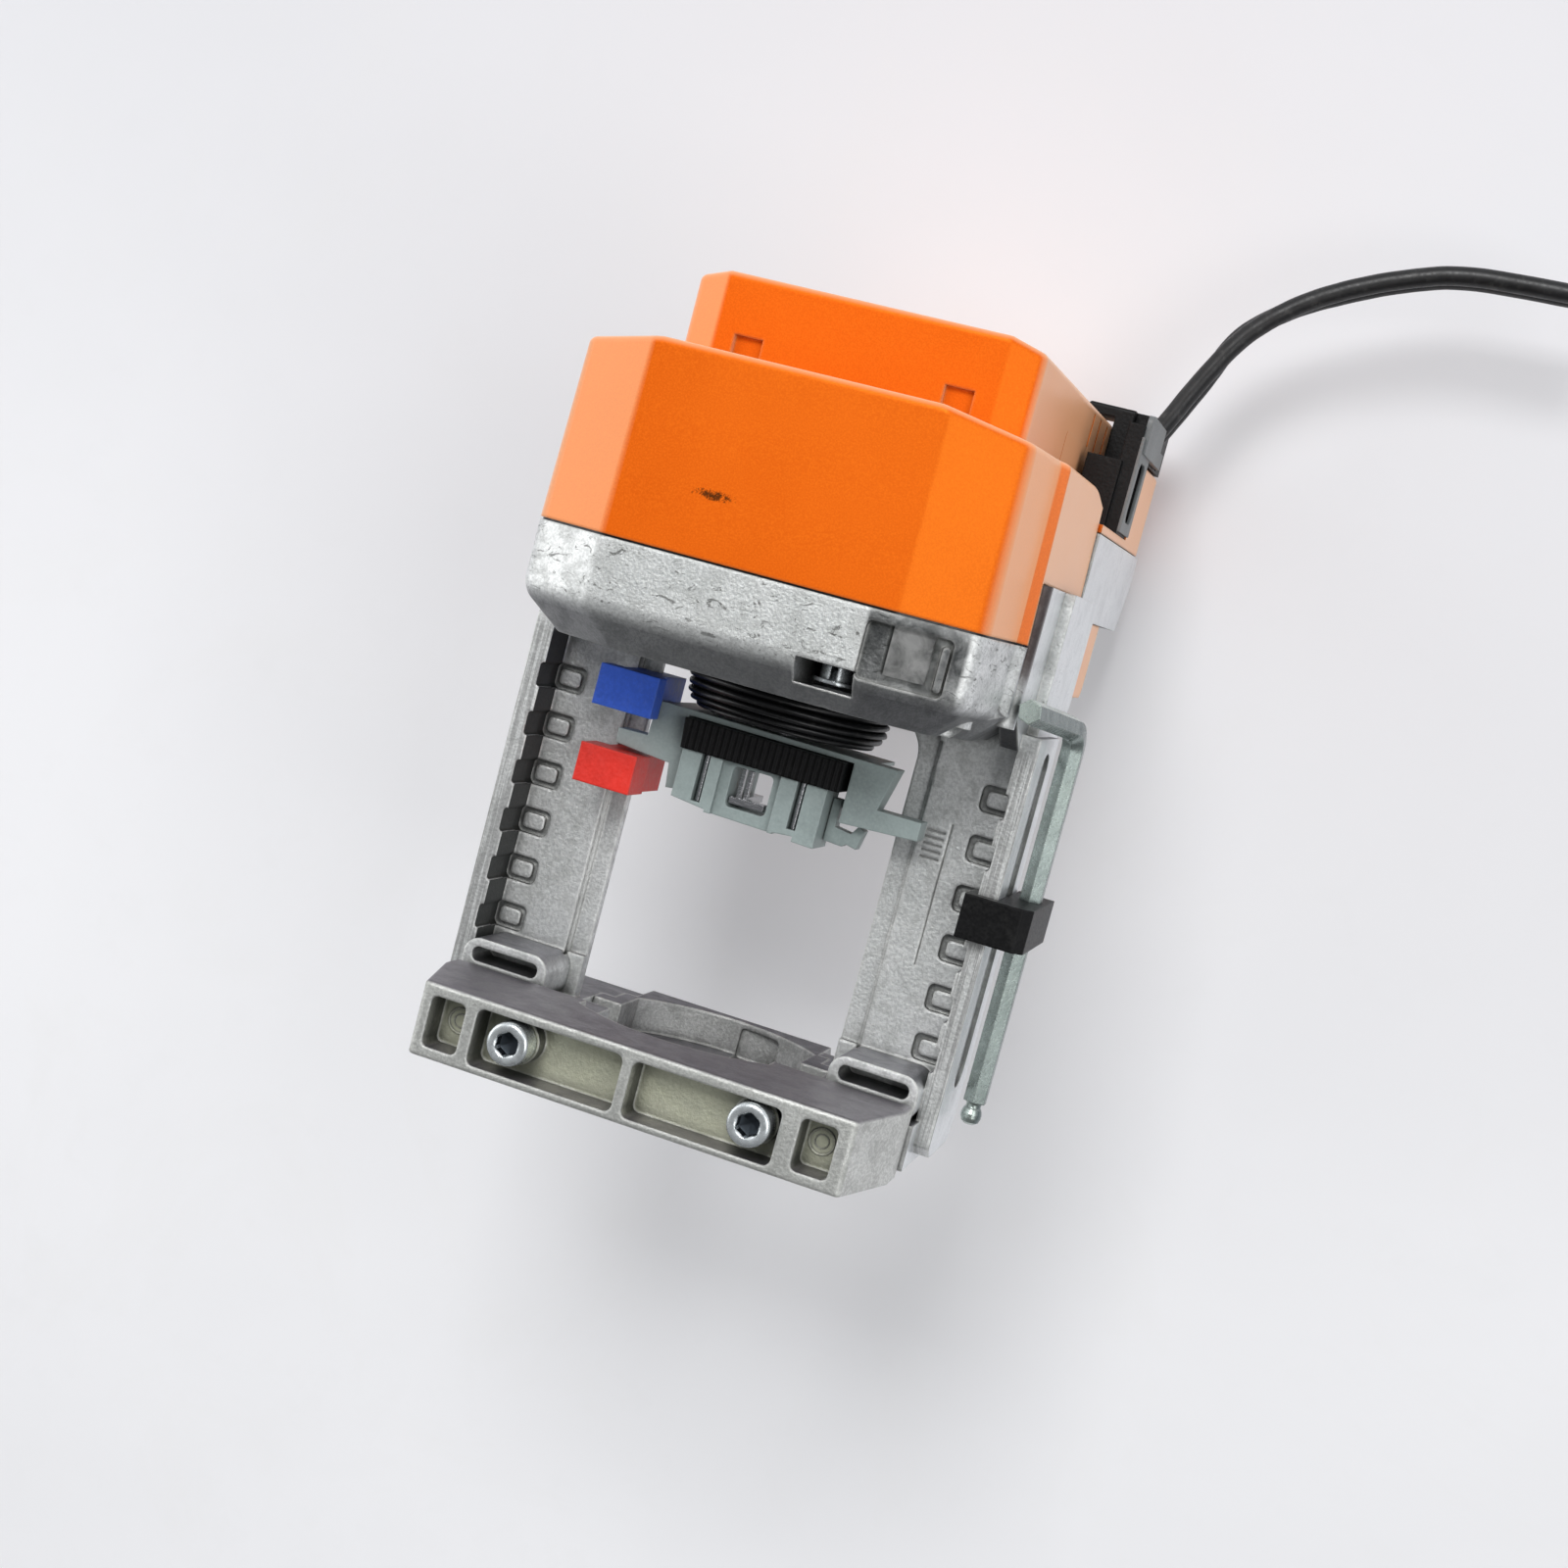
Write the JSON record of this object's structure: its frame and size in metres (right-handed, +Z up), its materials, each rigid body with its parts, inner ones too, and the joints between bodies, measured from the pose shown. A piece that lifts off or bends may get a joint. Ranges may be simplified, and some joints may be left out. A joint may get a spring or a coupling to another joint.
{
  "type": "linear valve actuator",
  "caption": "Motor-driven linear valve actuator: cast yoke with neck clamp, sliding stem coupling with rubber bellows, stroke tabs, gear case, two-tier orange cover and side cable entry.",
  "frame": {"origin": "spindle axis at the underside of the neck clamp", "axes": "+Z up along the spindle towards the cover, -Y the front with the clamp screws, +X the side with the stored hexagon key"},
  "size_m": [0.2122, 0.184, 0.2476],
  "materials": {
    "cast_alloy": "tumbled die casting, satin",
    "orange_cover": "fine grained moulding",
    "orange_cover_rear": "fine grained moulding",
    "zinc_screw": "bright zinc plated",
    "steel_dark": "oiled steel",
    "bright_steel": "ground steel",
    "coupling_grey": "grey green moulding",
    "black_plastic": "moulded, satin",
    "rubber_black": "matt elastomer",
    "blue_plastic": "moulded, satin",
    "red_plastic": "moulded, satin",
    "grey_plastic": "moulded, satin",
    "gear_plastic": "acetal, natural",
    "brass_bush": "turned",
    "motor_can": "plated can",
    "board_green": "solder mask",
    "terminal_green": "moulded",
    "capacitor_sleeve": "shrink sleeve",
    "copper_winding": "taped winding",
    "cable_black": "cable sheath, satin"
  },
  "bodies": {
    "actuator_body": {"housing_casting": "cast_alloy", "rear_jaw": "cast_alloy", "front_cover": "orange_cover", "rear_cover": "orange_cover_rear", "lower_cover": "orange_cover_rear", "cover_gasket": "rubber_black", "cover_screws": "steel_dark", "bellows": "rubber_black", "key_clip": "black_plastic", "gear_pins": "bright_steel", "motor": "motor_can", "motor_screws": "steel_dark", "gear_plate": "steel_dark", "plate_screws": "zinc_screw", "bush_lower": "brass_bush", "bush_upper": "brass_bush", "circuit_board": "board_green", "board_screws": "zinc_screw", "terminal_block": "terminal_green", "capacitors": "capacitor_sleeve", "transformer": "copper_winding", "cable_gland": "black_plastic", "strain_relief": "grey_plastic", "motor_lead": "rubber_black", "cable_a": "cable_black", "cable_b": "cable_black"},
    "clamp_jaw": {"clamp_bar": "cast_alloy"},
    "screw_left": {"clamp_screw_left": "zinc_screw"},
    "screw_right": {"clamp_screw_right": "zinc_screw"},
    "stem": {"spindle": "bright_steel", "coupling_frame": "coupling_grey", "coupling_insert": "black_plastic", "coupling_block": "coupling_grey", "coupling_pins": "bright_steel", "stem_latch": "bright_steel", "coupling_hook": "coupling_grey"},
    "red_stop": {"red_tab": "red_plastic"},
    "blue_stop": {"blue_tab": "blue_plastic"},
    "drive_nut": {"nut_gear": "steel_dark"},
    "second_gear": {"wheel_b": "gear_plastic"},
    "first_gear": {"wheel_a": "gear_plastic"},
    "motor_rotor": {"motor_pinion": "brass_bush"},
    "manual_drive": {"manual_shaft": "steel_dark"},
    "stored_key": {"hex_key": "zinc_screw"}
  },
  "joints": [
    {"name": "nut_spin", "type": "hinge", "parent": "actuator_body", "child": "drive_nut", "pos_m": [0, 0, 0.11], "axis": [0, 0, 1], "range_deg": [0, 3600]},
    {"name": "stem_stroke", "type": "slide", "parent": "actuator_body", "child": "stem", "axis": [0, 0, -1], "range_m": [0, 0.02], "deforming": ["bellows"]},
    {"name": "red_stop_slide", "type": "slide", "parent": "actuator_body", "child": "red_stop", "axis": [0, 0, -1], "range_m": [0, 0.02]},
    {"name": "blue_stop_slide", "type": "slide", "parent": "actuator_body", "child": "blue_stop", "axis": [0, 0, 1], "range_m": [-0.004, 0.0015]},
    {"name": "second_gear_spin", "type": "hinge", "parent": "actuator_body", "child": "second_gear", "pos_m": [-0.00905, -0.02734, 0.115], "axis": [0, 0, 1], "range_deg": [-10800, 0]},
    {"name": "first_gear_spin", "type": "hinge", "parent": "actuator_body", "child": "first_gear", "pos_m": [0.00489, -0.04384, 0.118], "axis": [0, 0, 1], "range_deg": [0, 32400]},
    {"name": "motor_spin", "type": "hinge", "parent": "actuator_body", "child": "motor_rotor", "pos_m": [-0.01311, -0.04384, 0.12], "axis": [0, 0, 1], "range_deg": [-97200, 0]},
    {"name": "manual_spin", "type": "hinge", "parent": "actuator_body", "child": "manual_drive", "pos_m": [0.0218, -0.05, 0.115], "axis": [0, 0, 1], "range_deg": [-97200, 0]},
    {"name": "key_slide", "type": "slide", "parent": "actuator_body", "child": "stored_key", "axis": [0, 0, 1], "range_m": [0, 0.055]},
    {"name": "clamp_slide", "type": "slide", "parent": "actuator_body", "child": "clamp_jaw", "axis": [0, -1, 0], "range_m": [0, 0.008]},
    {"name": "screw_left_turn", "type": "hinge", "parent": "clamp_jaw", "child": "screw_left", "pos_m": [-0.0287, -0.045, 0.0093], "axis": [0, -1, 0], "range_deg": [0, 2880]},
    {"name": "screw_right_turn", "type": "hinge", "parent": "clamp_jaw", "child": "screw_right", "pos_m": [0.0287, -0.045, 0.0093], "axis": [0, -1, 0], "range_deg": [0, 2880]}
  ],
  "couplings": [
    {"joint": "stem_stroke", "follows": "nut_spin", "m_per_rad": 0.00031831},
    {"joint": "red_stop_slide", "follows": "nut_spin", "m_per_rad": 0.00031831},
    {"joint": "second_gear_spin", "follows": "nut_spin", "ratio": -3},
    {"joint": "first_gear_spin", "follows": "nut_spin", "ratio": 9},
    {"joint": "motor_spin", "follows": "nut_spin", "ratio": -27},
    {"joint": "manual_spin", "follows": "nut_spin", "ratio": -27},
    {"joint": "screw_left_turn", "follows": "clamp_slide", "rad_per_m": 6283.2},
    {"joint": "screw_right_turn", "follows": "clamp_slide", "rad_per_m": 6283.2}
  ]
}
